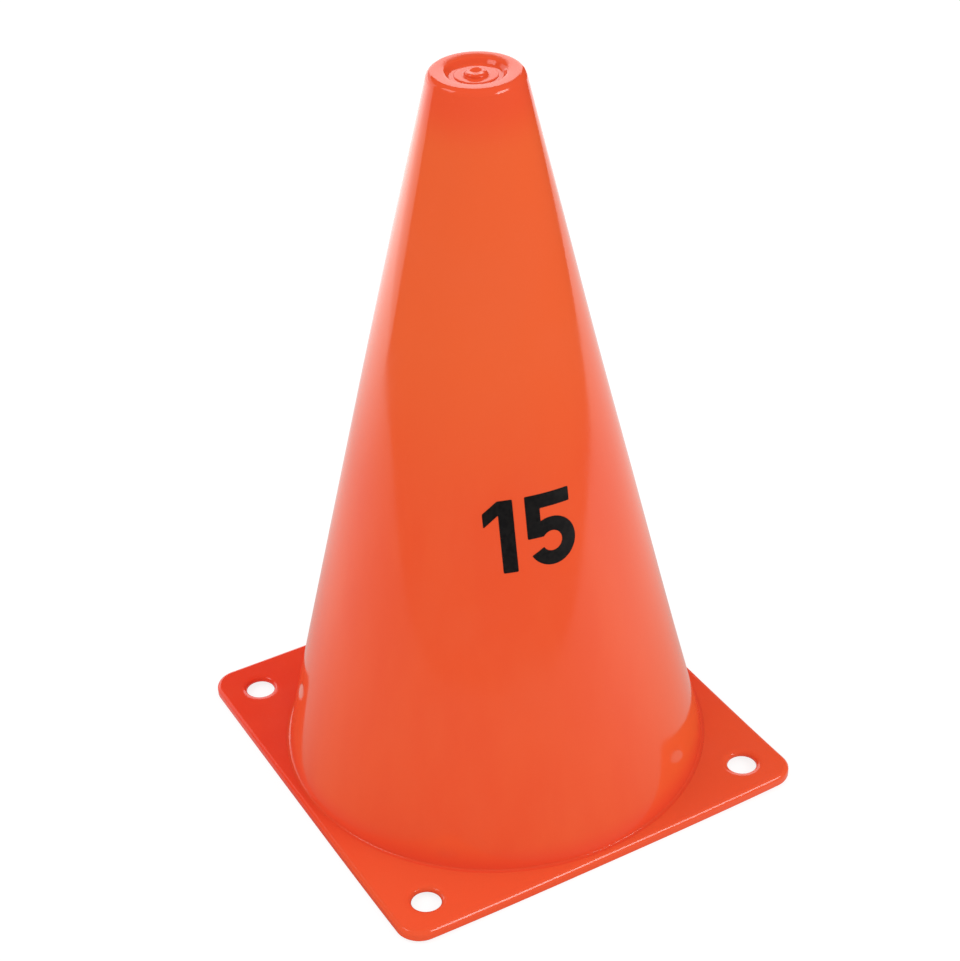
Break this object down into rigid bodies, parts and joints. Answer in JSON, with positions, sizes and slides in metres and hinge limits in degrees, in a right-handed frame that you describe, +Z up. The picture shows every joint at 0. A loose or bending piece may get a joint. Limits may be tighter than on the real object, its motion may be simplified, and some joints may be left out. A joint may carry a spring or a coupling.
{
  "type": "sports marker cone",
  "caption": "Hollow tapering marker cone on a square base plate with a peg hole in each corner, for marking out pitches and drills.",
  "frame": {"origin": "on the ground, under the middle of the square base", "axes": "+Z up along the cone's axis; X and Y along the base's sides; the printed number faces -Y, turned 12 degrees towards -X"},
  "size_m": [0.138, 0.138, 0.23],
  "materials": {
    "cone_plastic": "smooth glossy soft plastic, orange red",
    "base_plastic": "smooth glossy soft plastic, orange red",
    "print_ink": "black printed ink, satin"
  },
  "bodies": {
    "root": {"cone_body": "cone_plastic", "base_plate": "base_plastic", "number_print": "print_ink"}
  },
  "joints": []
}
